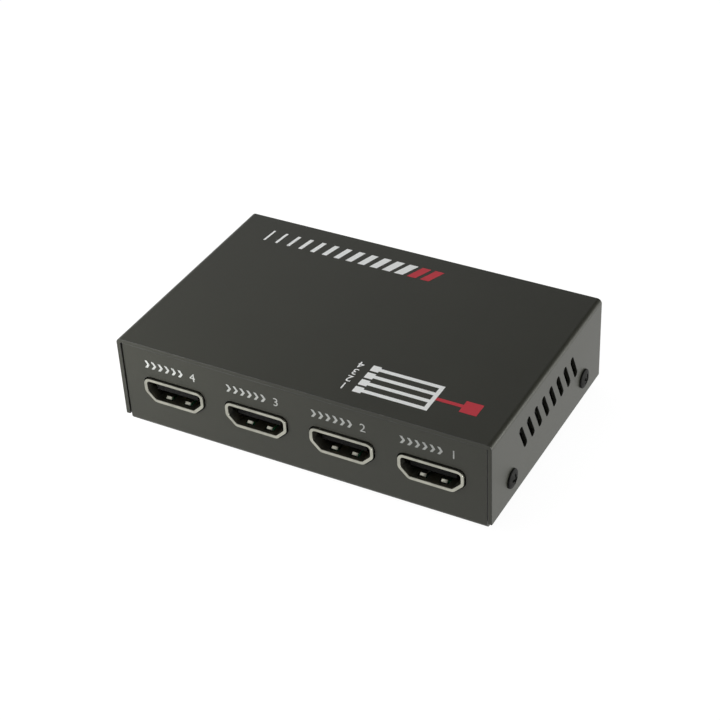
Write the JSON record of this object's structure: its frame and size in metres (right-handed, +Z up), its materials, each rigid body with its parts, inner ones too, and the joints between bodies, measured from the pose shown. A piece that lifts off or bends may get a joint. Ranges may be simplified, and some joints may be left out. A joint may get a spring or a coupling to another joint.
{
  "type": "video splitter",
  "caption": "Flat black sheet-metal box that copies one video input to a row of output sockets, with slanted side vents and a power jack.",
  "frame": {"origin": "under the middle of the case, on the plane that the feet stand on", "axes": "+X to the right along the width seen from the outputs, -Y the way the outputs face, +Z up"},
  "size_m": [0.094, 0.0594, 0.024],
  "materials": {
    "case_paint": "fine satin black powder coat on steel sheet",
    "screw_black": "black oxide on steel",
    "foot_rubber": "matte moulded rubber",
    "standoff_brass": "turned hexagon bar",
    "tin_plate": "tin plate",
    "board_laminate": "green solder mask on glass laminate",
    "shell_plate": "nickel plate, slightly warm",
    "socket_plastic": "fine moulded plastic",
    "contact_gold": "gold flash",
    "light_red": "diffused red resin",
    "light_green": "diffused green resin",
    "chip_epoxy": "moulded epoxy",
    "thermal_pad": "soft silicone sheet",
    "sink_aluminium": "extruded, plain",
    "can_aluminium": "drawn can",
    "ferrite": "sintered ferrite",
    "capacitor_ceramic": "fired ceramic with tinned ends"
  },
  "bodies": {
    "case": {"base_tray": "case_paint", "top_cover": "case_paint", "cover_screws": "screw_black", "rubber_foot_1": "foot_rubber", "rubber_foot_2": "foot_rubber", "rubber_foot_3": "foot_rubber", "rubber_foot_4": "foot_rubber", "board_standoffs": "standoff_brass", "board_screws": "tin_plate", "main_board": "board_laminate", "output_shell_1": "shell_plate", "output_shell_2": "shell_plate", "output_shell_3": "shell_plate", "output_shell_4": "shell_plate", "output_tongue_1": "socket_plastic", "output_tongue_2": "socket_plastic", "output_tongue_3": "socket_plastic", "output_tongue_4": "socket_plastic", "output_contacts_1": "contact_gold", "output_contacts_2": "contact_gold", "output_contacts_3": "contact_gold", "output_contacts_4": "contact_gold", "input_shell": "shell_plate", "input_tongue": "socket_plastic", "input_contacts": "contact_gold", "dc_jack_housing": "socket_plastic", "dc_jack_pin": "shell_plate", "dc_jack_blade": "shell_plate", "power_light": "light_red", "output_light_1": "light_green", "output_light_2": "light_green", "output_light_3": "light_green", "output_light_4": "light_green", "light_leads": "tin_plate", "splitter_chip": "chip_epoxy", "thermal_pad": "thermal_pad", "heat_sink": "sink_aluminium", "power_regulator": "chip_epoxy", "regulator_tab": "tin_plate", "power_inductor": "ferrite", "filter_can_1": "can_aluminium", "filter_can_2": "can_aluminium", "filter_base_1": "socket_plastic", "filter_base_2": "socket_plastic", "crystal": "tin_plate", "memory_chip": "chip_epoxy", "memory_leads": "tin_plate", "chip_capacitors": "capacitor_ceramic"},
    "jack_leaf": {"dc_jack_leaf": "shell_plate"}
  },
  "joints": [
    {"name": "jack_leaf_flex", "type": "hinge", "parent": "case", "child": "jack_leaf", "pos_m": [0.024, 0.0185, 0.0114], "axis": [-1, 0, 0], "range_deg": [0, 5], "stiffness_Nm_per_rad": 0.25}
  ]
}
